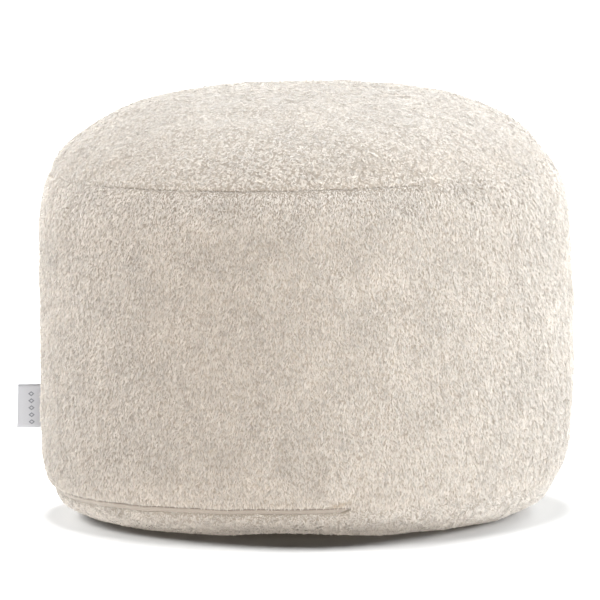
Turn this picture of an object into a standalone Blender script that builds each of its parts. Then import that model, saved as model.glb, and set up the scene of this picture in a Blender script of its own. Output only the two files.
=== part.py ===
"""Round plush bean bag footstool: its three filled cloth panels, the tape of its zip and its sewn-in label.

Metres, +Z up. The origin is the middle of the flat foot, on the floor. The front faces -Y, the label is at -X.
Azimuths are degrees, counter-clockwise seen from above, with 0 at +X and -90 at the front.
"""

import math

import bmesh
import bpy
import numpy as np

# The filled shape, measured over the pile
SIDE_RADIUS = 0.2488
BELLY = 0.0011  # how far the upright side swells past SIDE_RADIUS at its middle
HEIGHT = 0.4030
CROWN_START = 0.2640  # height where the side begins to turn in to the crown
CROWN_POWER = 2.52  # 2 gives an ellipse, more gives squarer shoulders
FOOT_START = 0.0980  # height where the side begins to turn under
FOOT_LEAN = 0.0290  # the turn starts this much higher at the right, and this much lower at the left
FOOT_POWER = 2.55
FOOT_RADIUS = 0.1800  # rim of the flat disc that rests on the floor

# Seams
PIECE_GAP = 0.0003
TOP_SEAM_HEIGHT = 0.3185
TOP_SEAM_DEPTH = 0.0040
TOP_SEAM_WAVE = 0.0015
LOW_SEAM_HEIGHT = 0.0302
LOW_SEAM_DEPTH = 0.0045
LOW_SEAM_WAVE = 0.0024
SIDE_SEAM_AZIMUTH = 180.0
SIDE_SEAM_DEPTH = 0.0035
SEAM_REACH = 0.0090  # cloth beside a seam is drawn in over this distance

# Zip tape, lying in the low seam between the side band and the base
ZIP_FRONT_AZIMUTH = -82.7
ZIP_BACK_AZIMUTH = -203.7
ZIP_TAPE_WIDTH = 0.0043
ZIP_TAPE_THICKNESS = 0.0016
ZIP_TAPE_CROWN = 0.0005  # how far the middle of its face stands past its edges
ZIP_TAPE_RECESS = 0.0003  # its face lies this far behind the rims of its channel
ZIP_CLEARANCE = 0.00035
ZIP_CLOSING_ANGLE = 3.0  # the channel closes over this angle past each end of the tape
ZIP_CHANNEL_STEP = 0.0008  # the back of the channel leans in by this much at its top

# Label, a folded ribbon held in the side seam
LABEL_HEIGHT = 0.0410
LABEL_MIDDLE = 0.1020  # height of its middle above the floor
LABEL_REACH = 0.2712  # distance of its free edge from the axis
LABEL_SPREAD = 0.0008  # the free edge reaches out this much more at the bottom, and less at the top
LABEL_THICKNESS = 0.0010
LABEL_ROOT = 0.0050  # how far it runs into the side seam
LABEL_BOW = 0.0015
LABEL_GRID = (9, 4)  # points across and up

# Places of the mesh's points
TURN_STEPS = 72
SIDE_SEAM_TURNS = (-2.1, -1.0, -0.3, 0.3, 1.0, 2.1)  # extra columns beside the side seam
SEAM_STEPS = (0.0, 0.0012, 0.0040, 0.0090)  # distances of the points beside a seam
CROWN_STEPS = 12
SIDE_STEPS = 14
BASE_STEPS = 5
OUTLINE_STEPS = 60

# Soft swells (+) and hollows (-) of the filled cloth
# name, azimuth, height, spread round, spread up, swell
SOFT_SPOTS = (
    ("left shoulder", 180.0, 0.3420, 0.1100, 0.0320, 0.0024),
    ("right shoulder", 0.0, 0.3420, 0.1100, 0.0320, -0.0032),
    ("right upper side", 0.0, 0.2860, 0.1100, 0.0400, -0.0024),
    ("right crown", 0.0, 0.3780, 0.1100, 0.0260, 0.0012),
    ("right belly", 0.0, 0.1400, 0.1200, 0.0500, 0.0008),
    ("left foot", 180.0, 0.0600, 0.0900, 0.0260, 0.0009),
    ("right foot", 0.0, 0.0600, 0.0900, 0.0260, 0.0010),
    ("front shoulder", -75.0, 0.3500, 0.0700, 0.0220, 0.0012),
    ("back hollow", 95.0, 0.2100, 0.1200, 0.0700, -0.0016),
    ("pucker ridge", -85.5, 0.0580, 0.0080, 0.0220, 0.0018),
    ("pucker hollow", -80.5, 0.0560, 0.0090, 0.0200, -0.0016),
)

# colour (linear RGB), roughness
MATERIALS = {
    "crown_plush": ((0.760, 0.700, 0.640), 0.95),
    "side_plush": ((0.700, 0.630, 0.560), 0.95),
    "base_plush": ((0.640, 0.570, 0.500), 0.95),
    "zip_cloth": ((0.420, 0.350, 0.290), 0.80),
    "label_satin": ((0.660, 0.650, 0.640), 0.45),
}
SHARP_ANGLE = 50.0


# Shape of the filled cloth


def turn_between(azimuth, other):
    """Signed angle from other to azimuth, in degrees, between -180 and 180."""
    return (azimuth - other + 180.0) % 360.0 - 180.0


def outline(azimuth):
    """Distances up the outside, radii and heights, from the rim of the flat foot to the crown's middle."""
    foot_start = FOOT_START + FOOT_LEAN * math.cos(math.radians(azimuth))
    quarter = np.linspace(0.0, math.pi / 2.0, OUTLINE_STEPS)
    side = np.linspace(0.0, 1.0, OUTLINE_STEPS)[1:-1]
    foot_out = np.sin(quarter) ** (2.0 / FOOT_POWER)
    foot_down = np.cos(quarter) ** (2.0 / FOOT_POWER)
    crown_in = np.cos(quarter) ** (2.0 / CROWN_POWER)
    crown_up = np.sin(quarter) ** (2.0 / CROWN_POWER)
    radii = np.concatenate((
        FOOT_RADIUS + (SIDE_RADIUS - FOOT_RADIUS) * foot_out,
        SIDE_RADIUS + BELLY * np.sin(math.pi * side),
        SIDE_RADIUS * crown_in,
    ))
    heights = np.concatenate((
        foot_start * (1.0 - foot_down),
        foot_start + (CROWN_START - foot_start) * side,
        CROWN_START + (HEIGHT - CROWN_START) * crown_up,
    ))
    steps = np.hypot(np.diff(radii), np.diff(heights))
    return np.concatenate(((0.0,), np.cumsum(steps))), radii, heights


def distance_at(curve, height):
    """Distance up an outline at which it passes a height."""
    distances, _, heights = curve
    return float(np.interp(height, heights, distances))


def swell_at(azimuth, height):
    """How far the soft spots push the cloth out at one place."""
    swell = 0.0
    for _, spot_azimuth, spot_height, spread_round, spread_up, amount in SOFT_SPOTS:
        round_way = math.radians(turn_between(azimuth, spot_azimuth)) * SIDE_RADIUS / spread_round
        up_way = (height - spot_height) / spread_up
        swell += amount * math.exp(-round_way * round_way - up_way * up_way)
    return swell


def drawn_in(distance, depth):
    """How far a seam pulls in the cloth at a distance from it, which leaves a rounded lip."""
    left = max(1.0 - distance / SEAM_REACH, 0.0)
    return depth * (1.0 - math.sqrt(1.0 - left * left))


def cloth_point(curve, azimuth, distance, pull):
    """Radius and height of the cloth at a distance up an outline, pulled in square to it."""
    distances, radii, heights = curve
    radius = float(np.interp(distance, distances, radii))
    height = float(np.interp(distance, distances, heights))
    either_side = (distance - 0.002, distance + 0.002)
    out = float(np.diff(np.interp(either_side, distances, radii))[0])
    up = float(np.diff(np.interp(either_side, distances, heights))[0])
    push = (swell_at(azimuth, height) - pull) / math.hypot(out, up)
    return radius + push * up, height - push * out


def even_steps(first, last, count):
    """The places between first and last that share the way into equal steps, without the two ends."""
    return [first + (last - first) * step / count for step in range(1, count)]


# Seams


def top_seam_height(azimuth):
    """The seam rides up a little at the front right and the back left."""
    return TOP_SEAM_HEIGHT + TOP_SEAM_WAVE * math.cos(math.radians(2.0 * (azimuth + 30.0)))


def low_seam_height(azimuth):
    """The seam rides up a little at the front, and dips either side of it and at the back."""
    return LOW_SEAM_HEIGHT + LOW_SEAM_WAVE * math.cos(math.radians(3.0 * (azimuth + 90.0)))


def zip_opening(azimuth):
    """How far the low seam stands open: full along the zip, closing smoothly past each of its ends."""
    middle = (ZIP_FRONT_AZIMUTH + ZIP_BACK_AZIMUTH) / 2.0
    half_length = (ZIP_FRONT_AZIMUTH - ZIP_BACK_AZIMUTH) / 2.0
    past_end = abs(turn_between(azimuth, middle)) - half_length
    closed = min(max(past_end / ZIP_CLOSING_ANGLE, 0.0), 1.0)
    closed = closed * closed * (3.0 - 2.0 * closed)
    return (ZIP_TAPE_WIDTH + 2.0 * ZIP_CLEARANCE - PIECE_GAP) * (1.0 - closed)


def side_rim(azimuth):
    """Where the side band meets the low seam."""
    curve = outline(azimuth)
    return cloth_point(curve, azimuth, distance_at(curve, low_seam_height(azimuth)), LOW_SEAM_DEPTH)


def base_rim_distance(curve, azimuth):
    return distance_at(curve, low_seam_height(azimuth)) - zip_opening(azimuth)


def base_rim(azimuth):
    """Where the base meets the low seam, below the tape along the zip."""
    curve = outline(azimuth)
    return cloth_point(curve, azimuth, base_rim_distance(curve, azimuth), LOW_SEAM_DEPTH)


# Sections of the pieces: (radius, height) points at one azimuth


def crown_section(azimuth):
    """From the top seam up to the last point before the crown's middle."""
    curve = outline(azimuth)
    seam = distance_at(curve, top_seam_height(azimuth))
    places = [seam + step for step in SEAM_STEPS]
    places += even_steps(places[-1], curve[0][-1], CROWN_STEPS)
    section = [cloth_point(curve, azimuth, place, drawn_in(place - seam, TOP_SEAM_DEPTH)) for place in places]
    rim_radius, rim_height = section[0]
    section[0] = (rim_radius, rim_height + PIECE_GAP / 2.0)
    return section


def side_section(azimuth):
    """From the low seam up to the top seam, drawn in all the way up where the side seam runs."""
    curve = outline(azimuth)
    low = distance_at(curve, low_seam_height(azimuth))
    top = distance_at(curve, top_seam_height(azimuth))
    from_side_seam = abs(math.radians(turn_between(azimuth, SIDE_SEAM_AZIMUTH))) * SIDE_RADIUS
    places = [low + step for step in SEAM_STEPS]
    places += even_steps(low + SEAM_STEPS[-1], top - SEAM_STEPS[-1], SIDE_STEPS)
    places += [top - step for step in reversed(SEAM_STEPS)]
    section = []
    for place in places:
        pull = max(
            drawn_in(place - low, LOW_SEAM_DEPTH),
            drawn_in(top - place, TOP_SEAM_DEPTH),
            drawn_in(from_side_seam, SIDE_SEAM_DEPTH),
        )
        section.append(cloth_point(curve, azimuth, place, pull))
    section[0] = (section[0][0], section[0][1] + PIECE_GAP / 2.0)
    section[-1] = (section[-1][0], section[-1][1] - PIECE_GAP / 2.0)
    return section


def base_section(azimuth):
    """From the back of the zip's channel, out over its floor and down to the rim of the flat foot."""
    curve = outline(azimuth)
    rim = base_rim_distance(curve, azimuth)
    places = [rim - step for step in SEAM_STEPS]
    places += even_steps(places[-1], 0.0, BASE_STEPS)
    section = [cloth_point(curve, azimuth, place, drawn_in(rim - place, LOW_SEAM_DEPTH)) for place in places]
    rim_radius, rim_height = section[0]
    floor_height = rim_height - PIECE_GAP / 2.0
    channel_depth = ZIP_TAPE_RECESS + ZIP_TAPE_THICKNESS + ZIP_CLEARANCE
    back_radius, back_height = side_rim(azimuth)
    back = (back_radius - channel_depth - ZIP_CHANNEL_STEP, back_height - PIECE_GAP / 2.0)
    section[0] = (rim_radius, floor_height)
    return [back, (rim_radius - channel_depth, floor_height), *section, (FOOT_RADIUS, 0.0)]


def zip_section(azimuth):
    """The tape's closed section, a strip with a slightly crowned face."""
    top_radius, top_height = side_rim(azimuth)
    low_radius, low_height = base_rim(azimuth)
    inset = ZIP_CLEARANCE - PIECE_GAP / 2.0
    top = (top_radius - ZIP_TAPE_RECESS, top_height - inset)
    low = (low_radius - ZIP_TAPE_RECESS, low_height + inset)
    face = ((top[0] + low[0]) / 2.0 + ZIP_TAPE_CROWN, (top[1] + low[1]) / 2.0)
    low_back = (low[0] - ZIP_TAPE_THICKNESS, low[1])
    top_back = (top[0] - ZIP_TAPE_THICKNESS, top[1])
    return [top, face, low, low_back, top_back]


# Making the objects


def column_azimuths():
    """Azimuths of the mesh's columns: even steps, with more beside the side seam and where the zip ends."""
    found = {360.0 * step / TURN_STEPS for step in range(TURN_STEPS)}
    found |= {SIDE_SEAM_AZIMUTH + turn for turn in SIDE_SEAM_TURNS}
    for closing in (0.0, 0.5, 1.0):
        found.add((ZIP_FRONT_AZIMUTH + closing * ZIP_CLOSING_ANGLE) % 360.0)
        found.add((ZIP_BACK_AZIMUTH - closing * ZIP_CLOSING_ANGLE) % 360.0)
    return sorted(found)


def upright_point(azimuth, radius, height):
    turn = math.radians(azimuth)
    return radius * math.cos(turn), radius * math.sin(turn), height


def cloth_material(name):
    colour, roughness = MATERIALS[name]
    material = bpy.data.materials.new(name)
    material.use_nodes = True
    shader = material.node_tree.nodes["Principled BSDF"]
    shader.inputs["Base Color"].default_value = (*colour, 1.0)
    shader.inputs["Roughness"].default_value = roughness
    shader.inputs["Metallic"].default_value = 0.0
    return material


def finish_object(name, mesh, material, parent):
    """Turns a bmesh into a smooth object of its own material."""
    bmesh.ops.recalc_face_normals(mesh, faces=mesh.faces)
    mesh_data = bpy.data.meshes.new(name)
    mesh.to_mesh(mesh_data)
    mesh.free()
    mesh_data.shade_smooth()
    mesh_data.set_sharp_from_angle(angle=math.radians(SHARP_ANGLE))
    mesh_data.materials.append(cloth_material(material))
    piece = bpy.data.objects.new(name, mesh_data)
    bpy.context.scene.collection.objects.link(piece)
    piece.parent = parent
    return piece


def close_end(mesh, loop, middle):
    """Closes a ring of points to a middle point, or with one flat face where middle is None."""
    if middle is None:
        mesh.faces.new(loop)
        return
    tip = mesh.verts.new(middle)
    for index, corner in enumerate(loop):
        mesh.faces.new((corner, loop[(index + 1) % len(loop)], tip))


def make_panel(name, section, first_middle, last_middle, material, parent):
    """A filled panel: its section at every azimuth, skinned all the way round and closed at both ends."""
    mesh = bmesh.new()
    columns = []
    for azimuth in column_azimuths():
        columns.append([mesh.verts.new(upright_point(azimuth, *place)) for place in section(azimuth)])
    for index, column in enumerate(columns):
        following = columns[(index + 1) % len(columns)]
        for low in range(len(column) - 1):
            mesh.faces.new((column[low], following[low], following[low + 1], column[low + 1]))
    close_end(mesh, [column[0] for column in columns], first_middle)
    close_end(mesh, [column[-1] for column in columns], last_middle)
    return finish_object(name, mesh, material, parent)


def make_zip_tape(parent):
    """The tape's section swept along the zip, with flat ends."""
    mesh = bmesh.new()
    first, last = sorted((ZIP_FRONT_AZIMUTH % 360.0, ZIP_BACK_AZIMUTH % 360.0))
    loops = []
    for azimuth in column_azimuths():
        if first <= azimuth <= last:
            loops.append([mesh.verts.new(upright_point(azimuth, *place)) for place in zip_section(azimuth)])
    for loop, following in zip(loops, loops[1:]):
        for index, corner in enumerate(loop):
            after = (index + 1) % len(loop)
            mesh.faces.new((corner, loop[after], following[after], following[index]))
    close_end(mesh, loops[0], None)
    close_end(mesh, loops[-1], None)
    return finish_object("zip_tape", mesh, "zip_cloth", parent)


def side_seam_radius():
    """Radius of the side seam at the label's middle."""
    curve = outline(SIDE_SEAM_AZIMUTH)
    place = distance_at(curve, LABEL_MIDDLE)
    return cloth_point(curve, SIDE_SEAM_AZIMUTH, place, SIDE_SEAM_DEPTH)[0]


def make_label(parent):
    """The ribbon, standing straight out of the side seam with a slight bow."""
    across, up = LABEL_GRID
    root = side_seam_radius() - LABEL_ROOT
    mesh = bmesh.new()
    rows = []
    for row in range(up):
        rise = row / (up - 1) - 0.5
        reach = LABEL_REACH - 2.0 * LABEL_SPREAD * rise
        line = []
        for step in range(across):
            out = step / (across - 1)
            past_root = max(out * (reach - root) - LABEL_ROOT, 0.0) / (reach - root - LABEL_ROOT)
            bow = LABEL_BOW * math.sin(math.pi * past_root) * past_root
            place = (-root - out * (reach - root), -bow, LABEL_MIDDLE + rise * LABEL_HEIGHT)
            line.append(mesh.verts.new(place))
        rows.append(line)
    for line, above in zip(rows, rows[1:]):
        for step in range(across - 1):
            mesh.faces.new((line[step], line[step + 1], above[step + 1], above[step]))
    label = finish_object("label", mesh, "label_satin", parent)
    solid = label.modifiers.new("ribbon thickness", "SOLIDIFY")
    solid.thickness = LABEL_THICKNESS
    solid.offset = 0.0
    return label


def cut_label_slot(side_band, parent):
    """The opening in the side seam that the label's root runs into."""
    width = LABEL_THICKNESS + 2.0 * PIECE_GAP
    height = LABEL_HEIGHT + 2.0 * PIECE_GAP
    root = side_seam_radius() - LABEL_ROOT - PIECE_GAP
    outside = LABEL_REACH - root
    mesh = bmesh.new()
    bmesh.ops.create_cube(mesh, size=1.0)
    bmesh.ops.scale(mesh, vec=(outside, width, height), verts=mesh.verts)
    bmesh.ops.translate(mesh, vec=(-root - outside / 2.0, 0.0, LABEL_MIDDLE), verts=mesh.verts)
    cutter = finish_object("label_slot_cutter", mesh, "label_satin", parent)
    cutter.hide_render = True
    cutter.display_type = "WIRE"
    cut = side_band.modifiers.new("label slot", "BOOLEAN")
    cut.operation = "DIFFERENCE"
    cut.solver = "EXACT"
    cut.object = cutter


def main():
    for old in list(bpy.data.objects):
        bpy.data.objects.remove(old, do_unlink=True)
    footstool = bpy.data.objects.new("footstool", None)
    bpy.context.scene.collection.objects.link(footstool)

    low_middle = LOW_SEAM_HEIGHT - PIECE_GAP / 2.0
    high_middle = TOP_SEAM_HEIGHT - TOP_SEAM_DEPTH - PIECE_GAP / 2.0
    make_panel("base_panel", base_section, (0.0, 0.0, low_middle), None, "base_plush", footstool)
    side_band = make_panel(
        "side_band",
        side_section,
        (0.0, 0.0, low_middle + PIECE_GAP),
        (0.0, 0.0, high_middle),
        "side_plush",
        footstool,
    )
    make_panel(
        "top_panel",
        crown_section,
        (0.0, 0.0, high_middle + PIECE_GAP),
        (0.0, 0.0, HEIGHT),
        "crown_plush",
        footstool,
    )
    make_zip_tape(footstool)
    make_label(footstool)
    cut_label_slot(side_band, footstool)


main()
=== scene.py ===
import math
import bpy
import numpy as np
from mathutils import Matrix, Vector


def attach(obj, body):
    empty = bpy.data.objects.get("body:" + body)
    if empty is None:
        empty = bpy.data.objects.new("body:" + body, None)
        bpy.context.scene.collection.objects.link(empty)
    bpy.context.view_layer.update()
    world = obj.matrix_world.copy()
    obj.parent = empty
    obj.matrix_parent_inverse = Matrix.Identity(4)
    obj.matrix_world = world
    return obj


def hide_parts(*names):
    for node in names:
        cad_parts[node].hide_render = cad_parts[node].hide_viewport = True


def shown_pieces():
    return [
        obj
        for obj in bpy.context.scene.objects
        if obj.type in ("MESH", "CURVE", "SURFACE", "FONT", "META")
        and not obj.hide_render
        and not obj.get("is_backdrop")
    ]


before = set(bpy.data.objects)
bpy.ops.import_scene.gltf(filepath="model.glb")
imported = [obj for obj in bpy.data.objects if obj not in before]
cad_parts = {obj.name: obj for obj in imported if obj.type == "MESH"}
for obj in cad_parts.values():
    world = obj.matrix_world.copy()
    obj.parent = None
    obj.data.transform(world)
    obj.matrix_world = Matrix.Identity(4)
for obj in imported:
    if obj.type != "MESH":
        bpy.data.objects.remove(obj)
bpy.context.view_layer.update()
print("packed model loaded")

# the filled shape over its pile, in metres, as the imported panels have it
form = dict(
    radius=0.2488, belly=0.0011, height=0.4030,
    crownStart=0.2640, crownPower=2.52,
    footStart=0.0980, footLean=0.0290, footPower=2.55, footRadius=0.1800,
    curveSteps=90, sideSteps=60,
)
# the seams: lengths and heights in metres, azimuths in degrees with 0 at the right and -90 at the front
seams = dict(
    top=0.3203, topWave=0.0015, low=0.0289, lowWave=0.0011,
    reach=0.0110, draw=0.0016,  # how wide and how deep the cloth is drawn in at the seams
    shutDraw=0.3,  # the share of that depth at the top seam where its crease has closed
    creaseReach=0.0022, crease=0.0011,  # the narrow crease along the stitches
    creaseSteps=(0.0, 0.0007, 0.0022),  # rows of cloth this far from the stitches
    side=180.0, sideReach=0.0090, sideDraw=0.0028,  # the upright seam
    zipFront=-82.7, zipBack=-203.7, zipWidth=0.0053, zipClosing=3.0,
    # where the top seam lies open, in front and behind: middle, half the angle, and how fast it closes
    openRanges=((-103.0, 28.0), (90.0, 70.0)), openFade=12.0,
    lowCovered=0.35,  # how open the low seam is away from the zip
)
# soft swells and hollows: azimuth, height, spread round, spread up, swell
softSpots = (
    (180.0, 0.3420, 0.1100, 0.0320, 0.0024),  # left shoulder
    (0.0, 0.3420, 0.1100, 0.0320, -0.0032),  # right shoulder
    (0.0, 0.2860, 0.1100, 0.0400, -0.0024),  # right upper side
    (0.0, 0.3780, 0.1100, 0.0260, 0.0022),  # right crown
    (180.0, 0.3850, 0.1500, 0.0160, 0.0022),  # left crown
    (0.0, 0.1400, 0.1200, 0.0500, 0.0008),  # right belly
    (180.0, 0.0600, 0.0900, 0.0260, 0.0009),  # left foot
    (0.0, 0.0600, 0.0900, 0.0260, 0.0010),  # right foot
    (-75.0, 0.3500, 0.0700, 0.0220, 0.0012),  # front shoulder
    (95.0, 0.2100, 0.1200, 0.0700, -0.0016),  # back hollow
    (-85.5, 0.0580, 0.0080, 0.0220, 0.0018),  # pucker's ridge
    (-80.5, 0.0560, 0.0090, 0.0200, -0.0016),  # pucker's hollow
    (-90.0, 0.0150, 9.0000, 0.0080, 0.0018),  # base, all round
    (-98.0, 0.0030, 0.1000, 0.0140, -0.0040),  # foot's edge in front
)
# painted light and shade on the pile, where it is painted paler or darker: azimuth, height, spread round,
# spread up, amount
paintedLightAndShade = (
    (-90.0, 0.3040, 9.0000, 0.0140, 0.22),  # painted highlight under the top seam, all round, where the band's top edge catches the light
    (-30.0, 0.3000, 0.1300, 0.0200, 0.14),  # painted light right of the front, high
    (-77.0, 0.3370, 0.0180, 0.0080, -0.26),  # painted shade of a dent above the top seam
    (-40.0, 0.3340, 0.1400, 0.0130, -0.22),  # painted shade right above the top seam
    (-150.0, 0.3350, 0.0900, 0.0150, -0.24),  # painted shade left above the top seam
    (-105.0, 0.3480, 0.0700, 0.0140, 0.12),  # painted light at the front of the crown
    (-112.0, 0.2150, 0.0900, 0.0700, -0.10),  # painted shade left of the front
    (-30.0, 0.2100, 0.0900, 0.1000, 0.12),  # painted light right of the front
    (90.0, 0.3950, 0.3000, 0.0200, 0.08),  # painted light on top of the crown
)
# uneven filling: how far apart the lumps are, how high, and the seed of each kind
lumps = dict(broad=0.055, broadHeight=0.0005, broadSeed=5, small=0.015, smallHeight=0.00016, smallSeed=6)
# painted shadow of the cloth tucked up slantwise past the zip's front end: from and to, how wide, how much
# darker
tuckShadow = dict(ends=(-88.0, -81.2), heights=(0.0316, 0.0400), width=0.0018, amount=0.90)
pileDepth = 0.0024  # the cloth lies this far inside the filled shape
footFade = 0.0300  # the pile is pressed flat at the foot's rim, and has its depth this far up from it
clothShade = 0.22  # painted shade of the cloth under the pile, from 0 as the pile's roots to 1 as its tips
floorGap = 0.0004  # the lowest tufts lie this far above the floor
jitter = 0.46  # how far tufts and locks stray from even rows, as a share of their spacing
facesInPiece = 195000  # the pile is cut into pieces of at most this many faces


def turnBetween(azimuth, other):
    return (azimuth - other + 180.0) % 360.0 - 180.0


def clothTurns():
    # azimuths of the columns of cloth: even steps, and closer ones by the upright seam and the zip's ends
    close = [seams["side"] + step for step in (-0.6, -0.25, 0.25, 0.6)]
    for end, way in ((seams["zipFront"], 1.0), (seams["zipBack"], -1.0)):
        close += [end + way * step for step in (0.0, 0.8, 1.6, 2.4, seams["zipClosing"])]
    close = {round(azimuth % 360.0, 4) for azimuth in close}
    return np.array(sorted(set(np.arange(0.0, 360.0, 1.0)) | close))


turns = clothTurns()
turnCount = len(turns)


def outline(azimuth):
    # distances up the outside, radii and heights, from the rim of the flat foot to the crown's middle
    footStart = form["footStart"] + form["footLean"] * math.cos(math.radians(azimuth))
    quarter = np.linspace(0.0, math.pi / 2.0, form["curveSteps"])
    side = np.linspace(0.0, 1.0, form["sideSteps"])[1:-1]
    footOut = np.sin(quarter) ** (2.0 / form["footPower"])
    footDown = np.cos(quarter) ** (2.0 / form["footPower"])
    crownIn = np.cos(quarter) ** (2.0 / form["crownPower"])
    crownUp = np.sin(quarter) ** (2.0 / form["crownPower"])
    radii = np.concatenate((
        form["footRadius"] + (form["radius"] - form["footRadius"]) * footOut,
        form["radius"] + form["belly"] * np.sin(math.pi * side),
        form["radius"] * crownIn,
    ))
    heights = np.concatenate((
        footStart * (1.0 - footDown),
        footStart + (form["crownStart"] - footStart) * side,
        form["crownStart"] + (form["height"] - form["crownStart"]) * crownUp,
    ))
    steps = np.hypot(np.diff(radii), np.diff(heights))
    return np.concatenate(((0.0,), np.cumsum(steps))), radii, heights


def topSeam(azimuth):
    return seams["top"] + seams["topWave"] * math.cos(math.radians(2.0 * (azimuth + 30.0)))


def lowSeam(azimuth):
    return seams["low"] + seams["lowWave"] * math.cos(math.radians(3.0 * (azimuth + 90.0)))


def zipShare(azimuth):
    # 1 along the zip, 0 where its opening has closed
    middle = (seams["zipFront"] + seams["zipBack"]) / 2.0
    half = (seams["zipFront"] - seams["zipBack"]) / 2.0
    closed = np.clip((np.abs(turnBetween(azimuth, middle)) - half) / seams["zipClosing"], 0.0, 1.0)
    return 1.0 - closed * closed * (3.0 - 2.0 * closed)


def openShare(azimuth, edge):
    # how open the crease is at an edge, from 0 to 1; the crown's middle has none
    if edge == 2:
        past = [np.abs(turnBetween(azimuth, middle)) - half for middle, half in seams["openRanges"]]
        past = np.maximum(np.minimum(*past), 0.0)
        return np.exp(-(past / seams["openFade"]) ** 2)
    if edge in (0, 1):
        return seams["lowCovered"] + (1.0 - seams["lowCovered"]) * zipShare(azimuth)
    return np.where(edge == 3, 0.0, 1.0) + 0.0 * azimuth


def drawnIn(distance, depth, reach):
    # how far in the cloth is at a distance from a seam: a round valley of this depth and reach
    left = np.clip(1.0 - distance / reach, 0.0, 1.0)
    return depth * (1.0 - np.sqrt(1.0 - left * left))


def softNoise(points, size, seed, waves=24):
    # smooth noise of unit strength, with bumps about size apart
    draw = np.random.default_rng(seed)
    ways = draw.normal(size=(waves, 3))
    fine = draw.uniform(0.6, 1.4, (waves, 1))
    ways *= 2.0 * math.pi / size * fine / np.linalg.norm(ways, axis=1, keepdims=True)
    return np.cos(points @ ways.T + draw.uniform(0.0, 2.0 * math.pi, waves)).sum(1) / math.sqrt(waves / 2.0)


def unit(vectors):
    # the same directions, of length 1
    return vectors / np.maximum(np.linalg.norm(vectors, axis=-1, keepdims=True), 1e-9)


def section(azimuth, places, depth):
    # points at places up the outline of one azimuth, depth inside the filled shape
    distances, radii, heights = outline(azimuth)
    radius = np.interp(places, distances, radii)
    height = np.interp(places, distances, heights)
    after, before = places + 0.001, places - 0.001  # the slope is taken over 2 mm
    out = np.interp(after, distances, radii) - np.interp(before, distances, radii)
    up = np.interp(after, distances, heights) - np.interp(before, distances, heights)
    length = np.hypot(out, up)
    swell = np.zeros_like(radius)
    for spotAzimuth, spotHeight, spreadRound, spreadUp, amount in softSpots:
        roundWay = math.radians(turnBetween(azimuth, spotAzimuth)) * form["radius"] / spreadRound
        swell += amount * np.exp(-roundWay ** 2 - ((height - spotHeight) / spreadUp) ** 2)
    turn = math.radians(azimuth)
    ring = np.array((math.cos(turn), math.sin(turn)))
    middle = np.stack((radius * ring[0], radius * ring[1], height), axis=1)
    swell += lumps["broadHeight"] * softNoise(middle, lumps["broad"], lumps["broadSeed"])
    swell += lumps["smallHeight"] * softNoise(middle, lumps["small"], lumps["smallSeed"])
    push = (swell - depth) / length
    radius = np.maximum(radius + push * up, 0.0)
    height = np.maximum(height - push * out, 0.0)
    return np.stack((radius * ring[0], radius * ring[1], height), axis=1)


def seamPlaces(azimuth):
    # how far up the outline the four edges are: 0 the zip's lower edge, 1 the low seam, 2 the top seam and
    # 3 the crown's middle
    distances, radii, heights = outline(azimuth)
    low = np.interp(lowSeam(azimuth), heights, distances)
    top = np.interp(topSeam(azimuth), heights, distances)
    return low - seams["zipWidth"] * zipShare(azimuth), low, top, distances[-1]


def rowShares(rows, seamBelow, seamAbove, span):
    # even rows, with three close ones at each seam for its crease
    close = np.array(seams["creaseSteps"]) / span
    below = close if seamBelow else np.array((0.0,))
    above = 1.0 - close[::-1] if seamAbove else np.array((1.0,))
    between = np.linspace(below[-1], above[0], rows - len(below) - len(above) + 2)[1:-1]
    return np.concatenate((below, between, above))


def clothGrid(first, last, rows, atSeam, inward):
    # a grid of points over the cloth: rows up the outline, columns round
    grid = np.zeros((rows, turnCount, 3))
    for column, azimuth in enumerate(turns):
        edges = seamPlaces(azimuth)
        start = edges[first] if first >= 0 else 0.0
        places = start + (edges[last] - start) * rowShares(rows, first >= 0, atSeam, edges[last] - start)
        fromFirst = places - start if first >= 0 else 1.0
        fromLast = edges[last] - places if atSeam else 1.0
        fromSeam = np.minimum(fromFirst, fromLast)
        nearTop = np.abs(places - edges[2]) < seams["reach"]
        topDraw = seams["shutDraw"] + (1.0 - seams["shutDraw"]) * openShare(azimuth, 2)
        draw = seams["draw"] * np.where(nearTop, topDraw, 1.0)
        depth = pileDepth * inward(places) + drawnIn(fromSeam, draw, seams["reach"])
        atTop = np.abs(places - edges[2]) < seams["creaseReach"]
        crease = seams["crease"] * np.where(atTop, openShare(azimuth, 2), openShare(azimuth, 1))
        depth = depth + drawnIn(fromSeam, crease, seams["creaseReach"])
        if atSeam and first >= 0:
            aside = abs(math.radians(turnBetween(azimuth, seams["side"]))) * form["radius"]
            depth = depth + drawnIn(aside, seams["sideDraw"], seams["sideReach"])
        grid[:, column] = section(azimuth, places, depth)
    return grid


def gridWays(grid):
    # outward normals and the way up the outline, at every point of a grid
    up = unit(np.gradient(grid, axis=0))
    around = unit(np.roll(grid, -1, axis=1) - np.roll(grid, 1, axis=1))
    normals = unit(np.cross(around, up))
    if np.linalg.norm(grid[-1, 0, :2]) < 0.001:  # the crown's middle
        normals[-1] = (0.0, 0.0, 1.0)
        up[-1] = up[-2]
    return normals, up


def sampleGrid(grid, row, column):
    # smooth lookup between the points of a grid that closes on itself
    row = np.clip(row, 0.0, grid.shape[0] - 1.001)
    below = row.astype(int)
    left = np.floor(column).astype(int)
    upShare = (row - below)[:, None]
    sideShare = (column - left)[:, None]
    left = left % turnCount
    right = (left + 1) % turnCount
    lower = grid[below, left] * (1.0 - sideShare) + grid[below, right] * sideShare
    upper = grid[below + 1, left] * (1.0 - sideShare) + grid[below + 1, right] * sideShare
    return lower * (1.0 - upShare) + upper * upShare


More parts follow.
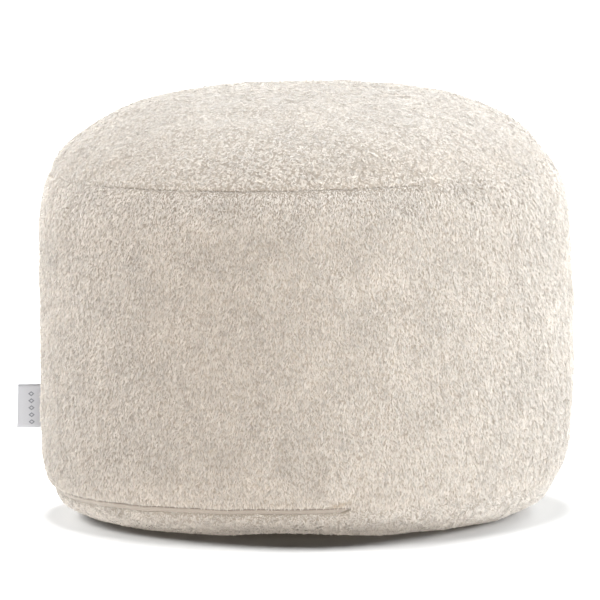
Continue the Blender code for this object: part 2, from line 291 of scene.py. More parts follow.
def addMesh(name, points, faces, material, smooth=True):
    mesh = bpy.data.meshes.new(name)
    mesh.from_pydata(points, [], faces)
    mesh.update()
    if smooth:
        mesh.shade_smooth()
    mesh.materials.append(material)
    piece = bpy.data.objects.new(name, mesh)
    bpy.context.scene.collection.objects.link(piece)
    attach(piece, "root")
    return piece


def thinSheet(name, grid, thickness, material):
    # a strip of cloth: its face, its back one thickness behind it, and its edges
    rows, columns = grid.shape[:2]
    normals = unit(np.cross(np.gradient(grid, axis=1), np.gradient(grid, axis=0)))
    points = np.concatenate((grid.reshape(-1, 3), (grid - normals * thickness).reshape(-1, 3)))
    back = rows * columns
    faces = []
    for row in range(rows - 1):
        for column in range(columns - 1):
            here = row * columns + column
            faces.append([here, here + 1, here + columns + 1, here + columns])
            faces.append([back + here, back + here + columns, back + here + columns + 1, back + here + 1])
    rim = list(range(columns))
    rim += [row * columns + columns - 1 for row in range(1, rows)]
    rim += [(rows - 1) * columns + column for column in range(columns - 2, -1, -1)]
    rim += [row * columns for row in range(rows - 2, 0, -1)]
    for here, following in zip(rim, rim[1:] + rim[:1]):
        faces.append([following, here, back + here, back + following])
    return addMesh(name, points, faces, material)


def clothBody(name, grid, middles, material):
    # the cloth of a panel as a closed, filled form: its grid, and a fan to a middle point below and above
    rows = grid.shape[0]
    points = np.concatenate((grid.reshape(-1, 3), np.array(middles)))
    row, column = np.meshgrid(np.arange(rows - 1), np.arange(turnCount), indexing="ij")
    here = (row * turnCount + column).ravel()
    beside = (row * turnCount + (column + 1) % turnCount).ravel()
    faces = np.stack((here, beside, beside + turnCount, here + turnCount), axis=1).tolist()
    last = (rows - 1) * turnCount
    for column in range(turnCount):
        following = (column + 1) % turnCount
        faces.append([following, column, rows * turnCount])
        faces.append([last + column, last + following, rows * turnCount + 1])
    body = addMesh(name, points, faces, material)
    tone = body.data.attributes.new("tip", "FLOAT", "POINT")
    tone.data.foreach_set("value", np.full(len(points), clothShade, dtype=np.float32))
    return body


def upTheGrid(grid):
    # mean radius of each row, and its distance up the cloth
    radii = np.linalg.norm(grid[:, :, :2], axis=2).mean(axis=1)
    steps = np.linalg.norm(np.diff(grid, axis=0), axis=2).mean(axis=1)
    return radii, np.concatenate(((0.0,), np.cumsum(steps)))


def tuftPlaces(grid, look):
    # rows and columns of the tufts, evenly spread over the cloth
    draw = np.random.default_rng(look["seed"])
    radii, along = upTheGrid(grid)
    span = along[-1] - look["inset"][0] - look["inset"][1]
    rowShare = 0.866  # rows of an even three-sided pattern lie this share of its spacing apart
    count = int(span / (look["spacing"] * rowShare))
    found = []
    for index in range(count + 1):
        place = look["inset"][0] + span * index / count
        around = max(int(2.0 * math.pi * np.interp(place, along, radii) / look["spacing"]), 3)
        roundBy = draw.uniform(-jitter, jitter, around)
        azimuth = (np.arange(around) + 0.5 * (index % 2) + roundBy) * 360.0 / around
        upBy = draw.uniform(-jitter, jitter, around) * look["spacing"]
        row = np.interp(place + upBy, along, np.arange(len(along)))
        found.append(np.stack((row, azimuth % 360.0), axis=1))
    found = np.concatenate(found)
    upTo = np.interp(found[:, 0], np.arange(len(along)), along)
    bareFirst = look["bare"][0] * openShare(found[:, 1], look["first"])
    bareLast = look["bare"][1] * openShare(found[:, 1], look["last"])
    found = found[(upTo > bareFirst) & (along[-1] - upTo > bareLast)]
    aside = np.abs(np.radians(found[:, 1] - seams["side"])) * form["radius"]
    return found[aside > look["parting"]]


def lockOffsets(places, along, radii, look):
    # tufts gather into small locks: for each tuft, how far round and up its lock's middle is, in metres,
    # and how far out in its lock it stands, from 0 to 1
    draw = np.random.default_rng(look["seed"] + 7)
    lockWide, step = look["lock"]
    lockRim = 0.62  # the rim of a lock, as a share of its size
    lockRows = int(along[-1] / step) + 3
    rounds = 2.0 * math.pi * np.interp(np.arange(lockRows) * step, along, radii)
    counts = np.maximum((rounds / lockWide).astype(int), 3)
    starts = np.concatenate(((0,), np.cumsum(counts)))
    shifts = draw.uniform(-jitter, jitter, (starts[-1], 2))
    up = np.interp(places[:, 0], np.arange(len(along)), along)
    radius = np.interp(up, along, radii)
    best = np.full(len(places), 1e9)
    found = np.zeros((len(places), 2))
    for rowStep in (-1, 0, 1):
        row = np.clip(np.round(up / step).astype(int) + rowStep, 0, lockRows - 1)
        turnIn = places[:, 1] / 360.0 * counts[row] - 0.5 * (row % 2)
        for columnStep in (-1, 0, 1):
            column = (np.round(turnIn).astype(int) + columnStep) % counts[row]
            shift = shifts[starts[row] + column]
            aroundWay = (column + 0.5 * (row % 2) + shift[:, 0]) * 360.0 / counts[row] - places[:, 1]
            aroundWay = np.radians((aroundWay + 180.0) % 360.0 - 180.0) * radius
            upWay = (row + shift[:, 1]) * step - up
            far = np.hypot(aroundWay / lockWide, upWay / step)
            nearer = far < best
            best = np.where(nearer, far, best)
            found[nearer] = np.stack((aroundWay, upWay), axis=1)[nearer]
    return found, np.clip(best / lockRim, 0.0, 1.0)


def paintedShading(points):
    # how pale the pile is painted at each point: the painted light and shade, and the painted shadow along
    # the cloth tucked up past the zip's front end
    tone = np.ones(len(points))
    azimuths = np.degrees(np.arctan2(points[:, 1], points[:, 0]))
    for azimuth, height, spreadRound, spreadUp, amount in paintedLightAndShade:
        aside = np.radians(turnBetween(azimuths, azimuth)) * form["radius"] / spreadRound
        tone += amount * np.exp(-aside ** 2 - ((points[:, 2] - height) / spreadUp) ** 2)
    start = np.array((math.radians(tuckShadow["ends"][0]) * form["radius"], tuckShadow["heights"][0]))
    line = np.array((math.radians(tuckShadow["ends"][1]) * form["radius"], tuckShadow["heights"][1])) - start
    spots = np.stack((np.radians(azimuths) * form["radius"], points[:, 2]), axis=1) - start
    share = np.clip(spots @ line / (line @ line), 0.0, 1.0)
    off = np.linalg.norm(spots - share[:, None] * line, axis=1)
    return tone - tuckShadow["amount"] * np.exp(-(off / tuckShadow["width"]) ** 2)


# what the tufts of all panels share: angles in degrees from upright, and shares of a length or width
tuft = dict(
    lowerAngles=(2.0, 80.0), upperAngles=(20.0, 94.0), pressedAngles=(82.0, 89.0),
    lengths=(0.75, 1.2), widths=(0.75, 1.25), gatherLow=0.45, rimPower=1.5,
)


def tuftPoints(grid, look):
    # each tuft: its root in the cloth, a left and a right shoulder, and its tip
    normals, ups = gridWays(grid)
    places = tuftPlaces(grid, look)
    columnsAt = np.interp(places[:, 1], np.append(turns, 360.0), np.arange(turnCount + 1))
    base = sampleGrid(grid, places[:, 0], columnsAt)
    normal = unit(sampleGrid(normals, places[:, 0], columnsAt))
    down = -unit(sampleGrid(ups, places[:, 0], columnsAt))
    across = unit(np.cross(normal, down))
    count = len(base)
    draw = np.random.default_rng(look["seed"] + 1)
    radii, along = upTheGrid(grid)
    long = base * np.array((1.0, 1.0, look["streak"]))
    swirl = look["swirl"] * softNoise(long, look["swirlSize"], look["seed"] + 2)
    turn = np.radians(swirl + look["scatter"] * draw.normal(size=count))
    way = down * np.cos(turn)[:, None] + across * np.sin(turn)[:, None]
    side = unit(np.cross(normal, way))
    lift = look["clump"] * softNoise(long, look["clumpSize"], look["seed"] + 4)
    lift = lift + look["ruffle"] * draw.normal(size=count)
    # tufts are clipped shorter beside an open crease
    upTo = np.interp(places[:, 0], np.arange(len(along)), along)
    nearFirst = np.clip(1.0 - upTo / look["trimReach"], 0.0, 1.0)
    nearFirst = nearFirst * openShare(places[:, 1], look["first"])
    nearLast = np.clip(1.0 - (along[-1] - upTo) / look["trimReach"], 0.0, 1.0)
    nearLast = nearLast * openShare(places[:, 1], look["last"])
    short = 1.0 - look["trim"] * (nearFirst + nearLast)
    # angles from upright of a tuft's lower and upper part; the top of the crown is pressed flatter by use
    first = np.radians(np.clip(look["lean"][0] + lift, *tuft["lowerAngles"]))[:, None]
    second = np.radians(np.clip(look["lean"][1] + lift, *tuft["upperAngles"]))[:, None]
    pressed = look["pressed"] * np.clip(normal[:, 2], 0.0, 1.0)[:, None] ** 2
    first = first + (math.radians(tuft["pressedAngles"][0]) - first) * pressed
    second = second + (math.radians(tuft["pressedAngles"][1]) - second) * pressed
    curl = np.radians(look["curl"] * draw.normal(size=count))[:, None]
    tipWay = way * np.cos(curl) + side * np.sin(curl)
    length = (look["length"] * short * draw.uniform(*tuft["lengths"], count))[:, None]
    toLock, outer = lockOffsets(places, along, radii, look)
    length = length * (1.0 - look["lockDrop"] * outer[:, None] ** 2)
    gather = (-down * toLock[:, 1:] - across * toLock[:, :1]) * look["gather"]
    root = base - normal * look["sunk"]
    lower = (normal * np.cos(first) + way * np.sin(first)) * length * look["bend"]
    shoulder = root + lower + gather * tuft["gatherLow"]
    upper = (normal * np.cos(second) + tipWay * np.sin(second)) * length * (1.0 - look["bend"])
    tip = shoulder + upper + gather * (1.0 - tuft["gatherLow"])
    half = 0.5 * look["width"] * draw.uniform(*tuft["widths"], count)[:, None]
    roll = np.radians(look["roll"] * draw.normal(size=count))[:, None]
    side = side * np.cos(roll) + unit(np.cross(way, side)) * np.sin(roll)
    points = np.stack((root, shoulder - side * half, shoulder + side * half, tip), axis=1)
    points[:, :, 2] = np.maximum(points[:, :, 2], floorGap)
    # tufts are darker at the rim of their lock, a painted shade between locks; beside an open crease they
    # are darker, a painted shade, and along the band's top edge paler, a painted highlight
    hem = 1.0 - look["hemShade"][0] * nearFirst ** 2 - look["hemShade"][1] * nearLast ** 2
    rim = 1.0 - look["shade"] * outer ** tuft["rimPower"]
    return points, normal, places[:, 1], rim * hem * paintedShading(base)


def addPile(name, points, normals, shades, look, material):
    # tufts face outward, and their shading leans towards the cloth's, as soft yarn scatters light
    facing = unit(np.cross(points[:, 2] - points[:, 0], points[:, 1] - points[:, 0]))
    facing += unit(np.cross(points[:, 2] - points[:, 1], points[:, 3] - points[:, 1]))
    turned = (facing * normals).sum(axis=1) < 0.0
    points[turned] = points[turned][:, (0, 2, 1, 3)]
    facing[turned] *= -1.0
    start = np.arange(len(points))[:, None] * 4
    faces = np.concatenate((start + np.array((0, 2, 1)), start + np.array((1, 2, 3))), axis=1).reshape(-1, 3)
    pile = addMesh(name, points.reshape(-1, 3), faces, material)
    shading = unit(unit(facing) * (1.0 - look["softShade"]) + normals * look["softShade"])
    pile.data.normals_split_custom_set_from_vertices(np.repeat(shading, 4, axis=0).tolist())
    # painted shade down each tuft: its root and shoulders take darker tones than its tip, times its painted
    # light and shade
    low, middle = look["tone"]
    tones = shades[:, None] * np.array((low, middle, middle, 1.0))
    tips = pile.data.attributes.new("tip", "FLOAT", "POINT")
    tips.data.foreach_set("value", tones.astype(np.float32).ravel())
    return pile


def plushMaterial(name, tipColour, rootShade):
    # yarn that is warmer and darker down in the pile, a painted shade of the depths among the tufts, paler
    # at its tips, and varies from tuft to tuft
    material = bpy.data.materials.new(name)
    material.use_nodes = True
    nodes, links = material.node_tree.nodes, material.node_tree.links
    shader = nodes["Principled BSDF"]
    shader.inputs["Specular IOR Level"].default_value = 0.25
    shader.inputs["Sheen Weight"].default_value = 1.0
    shader.inputs["Sheen Roughness"].default_value = 0.50
    shader.inputs["Sheen Tint"].default_value = (1.0, 1.0, 1.0, 1.0)
    # "tip" runs from the roots of the pile to its tips, and carries the painted shade down in the pile and
    # the pile's other painted light and shade
    up = nodes.new("ShaderNodeAttribute")
    up.attribute_name = "tip"
    depth = nodes.new("ShaderNodeMapRange")
    depth.inputs["From Min"].default_value = 0.05
    depth.inputs["From Max"].default_value = 0.82
    yarn = nodes.new("ShaderNodeMix")
    yarn.data_type = "RGBA"
    yarn.inputs[6].default_value = (*rootShade, 1.0)
    yarn.inputs[7].default_value = (*tipColour, 1.0)
    place = nodes.new("ShaderNodeTexCoord")
    broad = nodes.new("ShaderNodeTexNoise")
    broad.inputs["Scale"].default_value = 22.0
    broad.inputs["Detail"].default_value = 4.0
    broad.inputs["Roughness"].default_value = 0.6
    mottle = nodes.new("ShaderNodeMapRange")
    mottle.inputs["From Min"].default_value = 0.3
    mottle.inputs["From Max"].default_value = 0.7
    mottle.inputs["To Min"].default_value = 0.95
    mottle.inputs["To Max"].default_value = 1.04
    # each tuft has a shade of its own: most are pale, and a few are much darker
    eachTuft = nodes.new("ShaderNodeNewGeometry")
    vary = nodes.new("ShaderNodeMapRange")
    vary.inputs["To Min"].default_value = 1.06
    vary.inputs["To Max"].default_value = 0.76
    few = nodes.new("ShaderNodeMath")
    few.operation = "POWER"
    few.inputs[1].default_value = 2.2
    both = nodes.new("ShaderNodeMath")
    both.operation = "MULTIPLY"
    tinted = nodes.new("ShaderNodeHueSaturation")
    fibres = nodes.new("ShaderNodeTexNoise")
    fibres.inputs["Scale"].default_value = 1800.0
    fibres.inputs["Detail"].default_value = 2.0
    bump = nodes.new("ShaderNodeBump")
    bump.inputs["Strength"].default_value = 0.35
    bump.inputs["Distance"].default_value = 0.0002
    rough = nodes.new("ShaderNodeMapRange")
    rough.inputs["To Min"].default_value = 0.82
    rough.inputs["To Max"].default_value = 0.98
    links.new(place.outputs["Object"], fibres.inputs["Vector"])
    links.new(fibres.outputs["Fac"], bump.inputs["Height"])
    links.new(fibres.outputs["Fac"], rough.inputs["Value"])
    links.new(rough.outputs["Result"], shader.inputs["Roughness"])
    links.new(bump.outputs["Normal"], shader.inputs["Normal"])
    links.new(up.outputs["Fac"], depth.inputs["Value"])
    links.new(depth.outputs["Result"], yarn.inputs[0])
    links.new(place.outputs["Object"], broad.inputs["Vector"])
    links.new(broad.outputs["Fac"], mottle.inputs["Value"])
    links.new(eachTuft.outputs["Random Per Island"], few.inputs[0])
    links.new(few.outputs["Value"], vary.inputs["Value"])
    links.new(mottle.outputs["Result"], both.inputs[0])
    links.new(vary.outputs["Result"], both.inputs[1])
    links.new(both.outputs["Value"], tinted.inputs["Value"])
    links.new(yarn.outputs[2], tinted.inputs["Color"])
    links.new(tinted.outputs["Color"], shader.inputs["Base Color"])
    # yarn lets some of the light behind it through
    through = nodes.new("ShaderNodeBsdfTranslucent")
    mixed = nodes.new("ShaderNodeMixShader")
    mixed.inputs[0].default_value = 0.40
    links.new(tinted.outputs["Color"], through.inputs["Color"])
    links.new(shader.outputs["BSDF"], mixed.inputs[1])
    links.new(through.outputs["BSDF"], mixed.inputs[2])
    links.new(mixed.outputs["Shader"], nodes["Material Output"].inputs["Surface"])
    return material


def tapeMaterial(name, colour):
    # fine rib weave running along the tape, slightly paler on its ribs
    material = bpy.data.materials.new(name)
    material.use_nodes = True
    nodes, links = material.node_tree.nodes, material.node_tree.links
    shader = nodes["Principled BSDF"]
    shader.inputs["Specular IOR Level"].default_value = 0.25
    shader.inputs["Sheen Weight"].default_value = 0.25
    shader.inputs["Sheen Roughness"].default_value = 0.45
    place = nodes.new("ShaderNodeTexCoord")
    ribs = nodes.new("ShaderNodeTexWave")
    ribs.bands_direction = "Z"
    ribs.inputs["Scale"].default_value = 320.0
    ribs.inputs["Distortion"].default_value = 1.5
    ribs.inputs["Detail"].default_value = 2.0
    yarn = nodes.new("ShaderNodeTexNoise")
    yarn.inputs["Scale"].default_value = 900.0
    yarn.inputs["Detail"].default_value = 3.0
    both = nodes.new("ShaderNodeMath")
    both.operation = "MULTIPLY_ADD"
    both.inputs[1].default_value = 0.5
    shadeOf = nodes.new("ShaderNodeMix")
    shadeOf.data_type = "RGBA"
    darker, paler = 0.80, 1.12
    shadeOf.inputs[6].default_value = (*[part * darker for part in colour], 1.0)
    shadeOf.inputs[7].default_value = (*[part * paler for part in colour], 1.0)
    rough = nodes.new("ShaderNodeMapRange")
    rough.inputs["To Min"].default_value = 0.72
    rough.inputs["To Max"].default_value = 0.90
    bump = nodes.new("ShaderNodeBump")
    bump.inputs["Strength"].default_value = 0.5
    bump.inputs["Distance"].default_value = 0.0002
    links.new(place.outputs["Object"], ribs.inputs["Vector"])
    links.new(place.outputs["Object"], yarn.inputs["Vector"])
    links.new(ribs.outputs["Fac"], both.inputs[0])
    links.new(yarn.outputs["Fac"], both.inputs[2])
    links.new(both.outputs["Value"], shadeOf.inputs[0])
    links.new(both.outputs["Value"], bump.inputs["Height"])
    links.new(yarn.outputs["Fac"], rough.inputs["Value"])
    links.new(rough.outputs["Result"], shader.inputs["Roughness"])
    links.new(shadeOf.outputs[2], shader.inputs["Base Color"])
    links.new(bump.outputs["Normal"], shader.inputs["Normal"])
    return material


def labelMaterial(name, colour, threadColour):
    # satin ribbon with a plain column of small woven diamonds
    material = bpy.data.materials.new(name)
    material.use_nodes = True
    nodes, links = material.node_tree.nodes, material.node_tree.links
    shader = nodes["Principled BSDF"]
    shader.inputs["Specular IOR Level"].default_value = 0.45
    shader.inputs["Anisotropic"].default_value = 0.4
    shader.inputs["Sheen Weight"].default_value = 0.20
    place = nodes.new("ShaderNodeTexCoord")
    apart = nodes.new("ShaderNodeSeparateXYZ")
    weft = nodes.new("ShaderNodeTexWave")
    weft.bands_direction = "Z"
    weft.inputs["Scale"].default_value = 700.0
    weft.inputs["Distortion"].default_value = 0.6
    warp = nodes.new("ShaderNodeTexWave")
    warp.bands_direction = "X"
    warp.inputs["Scale"].default_value = 900.0
    warp.inputs["Distortion"].default_value = 0.6
    weave = nodes.new("ShaderNodeMath")
    weave.operation = "MULTIPLY"
    cloth = nodes.new("ShaderNodeMix")
    cloth.data_type = "RGBA"
    darker, paler = 0.88, 1.08
    cloth.inputs[6].default_value = (*[part * darker for part in colour], 1.0)
    cloth.inputs[7].default_value = (*[part * paler for part in colour], 1.0)
    links.new(place.outputs["Object"], apart.inputs["Vector"])
    links.new(place.outputs["Object"], weft.inputs["Vector"])
    links.new(place.outputs["Object"], warp.inputs["Vector"])
    links.new(weft.outputs["Fac"], weave.inputs[0])
    links.new(warp.outputs["Fac"], weave.inputs[1])
    links.new(weave.outputs["Value"], cloth.inputs[0])
    # how far across and up each diamond a point is
    diamond = dict(
        middle=-0.2585, width=0.0030, pitch=0.0066, height=0.0024, low=0.0870, high=0.1170, hollow=0.45,
    )

    def step(kind, first, second=None):
        node = nodes.new("ShaderNodeMath")
        node.operation = kind
        for socket, value in zip(node.inputs, (first, second)):
            if isinstance(value, bpy.types.NodeSocket):
                links.new(value, socket)
            elif value is not None:
                socket.default_value = value
        return node.outputs["Value"]

    fromMiddle = step("ABSOLUTE", step("SUBTRACT", apart.outputs["X"], diamond["middle"]))
    across = step("DIVIDE", fromMiddle, diamond["width"])
    centred = step("PINGPONG", step("SUBTRACT", apart.outputs["Z"], diamond["low"]), diamond["pitch"] / 2.0)
    upWay = step("DIVIDE", centred, diamond["height"])
    inside = step("LESS_THAN", step("ADD", across, upWay), 1.0)
    pastHollow = step("GREATER_THAN", step("ADD", across, upWay), diamond["hollow"])
    aboveLow = step("GREATER_THAN", apart.outputs["Z"], diamond["low"] - diamond["height"])
    between = step("MULTIPLY", aboveLow, step("LESS_THAN", apart.outputs["Z"], diamond["high"]))
    worked = step("MULTIPLY", step("MULTIPLY", inside, pastHollow), between)
    woven = nodes.new("ShaderNodeMix")
    woven.data_type = "RGBA"
    woven.inputs[7].default_value = (*threadColour, 1.0)
    links.new(worked, woven.inputs[0])
    links.new(cloth.outputs[2], woven.inputs[6])
    links.new(woven.outputs[2], shader.inputs["Base Color"])
    rough = nodes.new("ShaderNodeMapRange")
    rough.inputs["To Min"].default_value = 0.50
    rough.inputs["To Max"].default_value = 0.38
    links.new(weave.outputs["Value"], rough.inputs["Value"])
    links.new(rough.outputs["Result"], shader.inputs["Roughness"])
    bump = nodes.new("ShaderNodeBump")
    bump.inputs["Strength"].default_value = 0.4
    bump.inputs["Distance"].default_value = 0.0001
    links.new(step("ADD", weave.outputs["Value"], worked), bump.inputs["Height"])
    links.new(bump.outputs["Normal"], shader.inputs["Normal"])
    return material


plush = plushMaterial("cream plush", (0.81, 0.766, 0.715), (0.58, 0.50, 0.415))

# the panels: the cloth goes from its first edge to its last, and -1 is the foot's rim. The second line of
# each places the tufts, the third gives their size, the next two their angles and how these wander over the
# cloth, and the two after them their locks and shades
panels = dict(
    crown=dict(
        node="top_panel", slot="crown_plush", first=2, last=3, rows=70, atSeam=False,
        seed=11, spacing=0.00145, inset=(0.0008, 0.0010), bare=(0.0005, 0.0), parting=0.0,
        length=0.0044, width=0.0016, bend=0.42, sunk=0.0005, trim=0.40, trimReach=0.0060,
        lean=(54, 86), curl=30, scatter=30, swirl=90, swirlSize=0.009, streak=1.0,
        clump=7, clumpSize=0.0080, roll=10, ruffle=3, pressed=0.45,
        lock=(0.0032, 0.0032), lockDrop=0.14, gather=0.38, shade=0.28,
        hemShade=(0.20, 0.0), tone=(0.22, 0.80), softShade=0.0,
        middles=((0.0, 0.0, 0.3120), (0.0, 0.0, 0.4000)),
    ),
    band=dict(
        node="side_band", slot="side_plush", first=1, last=2, rows=68, atSeam=True,
        seed=23, spacing=0.00142, inset=(0.0010, 0.0008), bare=(0.0050, 0.0003), parting=0.0009,
        length=0.0052, width=0.0014, bend=0.42, sunk=0.0005, trim=0.40, trimReach=0.0060,
        lean=(44, 82), curl=20, scatter=14, swirl=7, swirlSize=0.014, streak=0.35,
        clump=5, clumpSize=0.0080, roll=24, ruffle=8, pressed=0.0,
        lock=(0.0031, 0.0062), lockDrop=0.15, gather=0.30, shade=0.24,
        hemShade=(0.50, -0.50), tone=(0.02, 0.80), softShade=0.05,
        middles=((0.0, 0.0, 0.0302), (0.0, 0.0, 0.3100)),
    ),
    base=dict(
        node="base_panel", slot="base_plush", first=-1, last=0, rows=22, atSeam=True,
        seed=37, spacing=0.00135, inset=(0.0040, 0.0010), bare=(0.0, 0.0003), parting=0.0,
        length=0.0042, width=0.0013, bend=0.45, sunk=0.0005, trim=0.40, trimReach=0.0060,
        lean=(46, 82), curl=30, scatter=30, swirl=80, swirlSize=0.009, streak=1.0,
        clump=5, clumpSize=0.0080, roll=14, ruffle=4, pressed=0.0,
        lock=(0.0034, 0.0034), lockDrop=0.18, gather=0.35, shade=0.14,
        # the base's roots and shoulders are painted paler than the band's: painted light on the underside
        hemShade=(0.0, 0.0), tone=(0.68, 1.15), softShade=0.10,
        middles=((0.0, 0.0, 0.0), (0.0, 0.0, 0.0290)),
    ),
)
# the zip's woven tape: its face in the opening, its edges turned in between the panels
tapeLook = dict(
    depth=0.0034, crown=0.0006, groove=0.0004, grooveWidth=0.10, turnedIn=0.0031,
    rounding=0.0006, roundPower=8, thickness=0.0004,
    endDepth=0.0030, endReach=7.0, endGap=0.3, across=13, step=1.0,
)
tape = tapeMaterial("woven zip tape", (0.34, 0.30, 0.262))


def tapeGrid(look):
    # the tape's front end sinks into the seam; each side has two more rows, turned in under the panels
    first = seams["zipBack"] - seams["zipClosing"] + look["endGap"]
    last = seams["zipFront"] + seams["zipClosing"] - look["endGap"]
    columns = []
    for azimuth in np.linspace(first, last, int((last - first) / look["step"]) + 1):
        lower, upper = seamPlaces(azimuth)[:2]
        fromEnd = min(max((last - azimuth) / look["endReach"], 0.0), 1.0)
        end = look["endDepth"] * (1.0 - fromEnd) ** 2
        share = np.linspace(0.0, 1.0, look["across"])
        places = lower + (upper - lower) * share
        groove = look["groove"] * np.exp(-((share - 0.5) / look["grooveWidth"]) ** 2)
        proud = look["crown"] * np.sin(math.pi * share) - groove
        rounded = look["rounding"] * np.abs(2.0 * share - 1.0) ** look["roundPower"]
        face = section(azimuth, places, look["depth"] + end + rounded - proud)
        rim = look["depth"] + end + look["rounding"]
        inner = []
        for side, turned in ((0, 1.0), (0, 0.5), (-1, 0.5), (-1, 1.0)):
            inner.append(section(azimuth, places[[side]], rim + look["turnedIn"] * turned))
        columns.append(np.concatenate((inner[0], inner[1], face, inner[2], inner[3])))
    return np.stack(columns, axis=1)


grid = tapeGrid(tapeLook)
zipTape = thinSheet("zipTape", grid, tapeLook["thickness"], tape)
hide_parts("zip_tape")

# the label: a ribbon folded once, its ends in the upright seam
labelLook = dict(
    height=0.0410, middle=0.1020, root=0.2441, reach=0.2710, spread=0.0008, bow=0.0015,
    gap=0.00034, foldGap=0.00050, thickness=0.00026, across=12, up=14, fold=7,
)
labelCloth = labelMaterial("grey woven ribbon", (0.47, 0.485, 0.525), (0.17, 0.18, 0.21))


def labelGrid(look):
    # out along the front layer, round the fold and back along the other one, at each height
    rows = []
    for rise in np.linspace(-0.5, 0.5, look["up"]):
        reach = look["reach"] - 2.0 * look["spread"] * rise
        out = np.linspace(0.0, 1.0, look["across"])
        bow = look["bow"] * np.sin(math.pi * out) * out
        half = look["gap"] + (look["foldGap"] - look["gap"]) * out ** 3
        turn = np.radians(np.linspace(-90.0, 90.0, look["fold"] + 2))[1:-1]
        outs = np.concatenate((out, 1.0 + 0.0 * turn, out[::-1]))
        beyond = np.concatenate((0.0 * out, look["foldGap"] * np.cos(turn), 0.0 * out))
        aside = np.concatenate((-bow - half, -bow[-1] + look["foldGap"] * np.sin(turn), (-bow + half)[::-1]))
        line = -look["root"] - outs * (reach - look["root"]) - beyond
        height = np.full_like(line, look["middle"] + rise * look["height"])
        rows.append(np.stack((line, aside, height), axis=1))
    return np.stack(rows)


grid = labelGrid(labelLook)
label = thinSheet("ribbonLabel", grid, labelLook["thickness"], labelCloth)
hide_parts("label")



def fullDepth(places):
    return 1.0


def footDepth(places):
    return np.clip(places / footFade, 0.0, 1.0)


tuftsInAll = 0
for name, look in panels.items():
    inward = footDepth if name == "base" else fullDepth
    grid = clothGrid(look["first"], look["last"], look["rows"], look["atSeam"], inward)
    cloth = clothBody(name + "Cloth", grid, look["middles"], plush)
    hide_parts(look["node"])
    points, normals, azimuths, shades = tuftPoints(grid, look)
    parts = math.ceil(len(points) * 2 / facesInPiece)
    sector = (azimuths / 360.0 * parts).astype(int)
    for part in range(parts):
        own = sector == part
        pileName = "%sPile%d" % (name, part + 1)
        addPile(pileName, points[own], normals[own], shades[own], look, plush)
    tuftsInAll += len(points)
    print("%s: %d tufts in %d pieces" % (name, len(points), parts))
print("tufts in all", tuftsInAll)

# camera, a little above the middle, with a long lens
view = dict(distance=5.0, elevation=5.53, roll=0.85, lens=321.0, aimX=-0.0057, aimZ=0.1976)
lean = math.radians(view["elevation"])
back = Vector((0.0, -math.cos(lean), math.sin(lean)))
cameraData = bpy.data.cameras.new("camera")
cameraData.lens = view["lens"]
cameraData.sensor_width = 36.0
cameraData.clip_end = 100.0
camera = bpy.data.objects.new("camera", cameraData)
bpy.context.scene.collection.objects.link(camera)
aim = Vector((view["aimX"], 0.0, view["aimZ"]))
turned = (-back).to_track_quat("-Z", "Y").to_matrix().to_4x4()
turned = turned @ Matrix.Rotation(-math.radians(view["roll"]), 4, "Z")
camera.matrix_world = Matrix.Translation(aim + back * view["distance"]) @ turned
bpy.context.scene.camera = camera

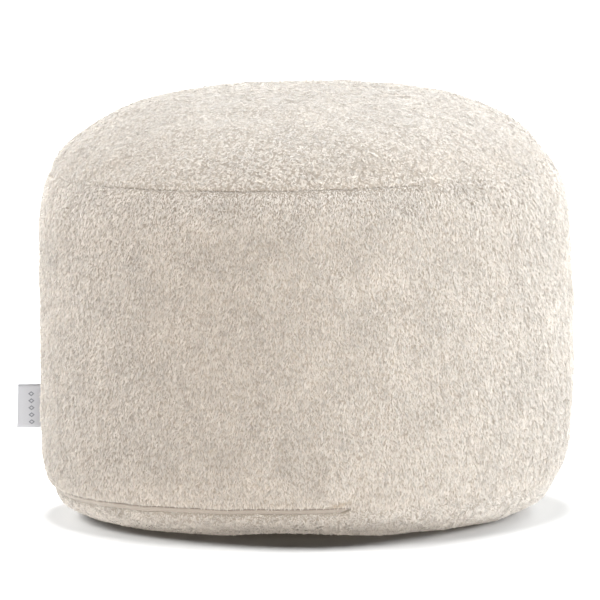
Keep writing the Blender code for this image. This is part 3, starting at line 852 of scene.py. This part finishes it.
# pale floor
floorHalf = 60
floorCorners = [(x * floorHalf, y * floorHalf, 0) for x, y in ((-1, -1), (1, -1), (1, 1), (-1, 1))]
floorData = bpy.data.meshes.new("floor")
floorData.from_pydata(floorCorners, [], [(0, 1, 2, 3)])
floor = bpy.data.objects.new("floor", floorData)
bpy.context.scene.collection.objects.link(floor)
floorMaterial = bpy.data.materials.new("pale floor")
floorMaterial.use_nodes = True
floorShade = 0.30  # it looks pale under its own strong lights, and throws little light back up at the base
floorShader = floorMaterial.node_tree.nodes["Principled BSDF"]
floorShader.inputs["Base Color"].default_value = (floorShade, floorShade, floorShade, 1.0)
floorShader.inputs["Roughness"].default_value = 1.0
floorShader.inputs["Specular IOR Level"].default_value = 0.0
floorData.materials.append(floorMaterial)
floor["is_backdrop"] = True

# soft lights: azimuth with 0 at the right and -90 at the front, elevation, strength, softness, colour and
# what it lights
lights = dict(
    floorTop=(90.0, 86.0, 6.20, 13.0, (1.0, 1.0, 1.0), "floor"),
    floorRight=(35.0, 14.0, 18.5, 20.0, (1.0, 0.985, 0.97), "floor"),
    floorLeft=(156.0, 36.0, 8.00, 24.0, (1.0, 1.0, 0.98), "floor"),
    floorLowLeft=(145.0, 14.0, 4.50, 20.0, (1.0, 0.98, 0.965), "floor"),
    floorBackLeft=(120.0, 22.0, 5.30, 24.0, (1.0, 0.98, 0.98), "floor"),
    floorBackRight=(60.0, 22.0, 9.90, 24.0, (0.98, 1.0, 1.0), "floor"),
    front=(-90.0, 4.0, 1.96, 40.0, (1.00, 0.94, 0.88), "pouf"),
    bounce=(-90.0, -50.0, 1.93, 50.0, (1.00, 0.94, 0.86), "pouf"),
    lowRight=(-30.0, -22.0, 0.50, 50.0, (0.73, 0.90, 1.00), "pouf"),
    right=(-10.0, 12.0, 3.52, 45.0, (0.87, 0.95, 1.00), "pouf"),
    rightBack=(25.0, 20.0, 0.87, 45.0, (1.00, 0.93, 0.89), "pouf"),
    left=(165.0, 15.0, 2.18, 45.0, (0.97, 1.00, 1.00), "pouf"),
    back=(90.0, 45.0, 0.28, 60.0, (0.93, 0.97, 1.00), "pouf"),
    top=(90.0, 72.0, 5.05, 60.0, (0.99, 1.00, 1.00), "pouf"),
)
lit = dict(floor=bpy.data.collections.new("lit floor"), pouf=bpy.data.collections.new("lit pouf"))
lit["floor"].objects.link(floor)
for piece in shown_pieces():
    lit["pouf"].objects.link(piece)
for name, (azimuth, elevation, strength, softness, colour, target) in lights.items():
    lampData = bpy.data.lights.new(name + " light", "SUN")
    lampData.energy = strength
    lampData.angle = math.radians(softness)
    lampData.color = colour
    lamp = bpy.data.objects.new(name + " light", lampData)
    bpy.context.scene.collection.objects.link(lamp)
    turn, rise = math.radians(azimuth), math.radians(elevation)
    towards = Vector((math.cos(turn) * math.cos(rise), math.sin(turn) * math.cos(rise), math.sin(rise)))
    lamp.rotation_euler = (-towards).to_track_quat("-Z", "Y").to_euler()
    lamp.light_linking.receiver_collection = lit[target]
    if elevation < 0.0:  # light thrown up from a white floor passes the floor itself
        lamp.light_linking.blocker_collection = lit[target]
world = bpy.data.worlds.new("studio")
bpy.context.scene.world = world
world.use_nodes = True
worldNodes, worldLinks = world.node_tree.nodes, world.node_tree.links
worldNodes["Background"].inputs["Color"].default_value = (1.0, 1.0, 1.0, 1.0)
seen = worldNodes.new("ShaderNodeLightPath")
strength = worldNodes.new("ShaderNodeMapRange")
strength.inputs["To Min"].default_value = 0.015  # what it lights the pouf and the floor with
strength.inputs["To Max"].default_value = 1.10  # and how bright it looks
worldLinks.new(seen.outputs["Is Camera Ray"], strength.inputs["Value"])
worldLinks.new(strength.outputs["Result"], worldNodes["Background"].inputs["Strength"])
bpy.context.scene.view_settings.view_transform = "Standard"
print("stage and lights placed")
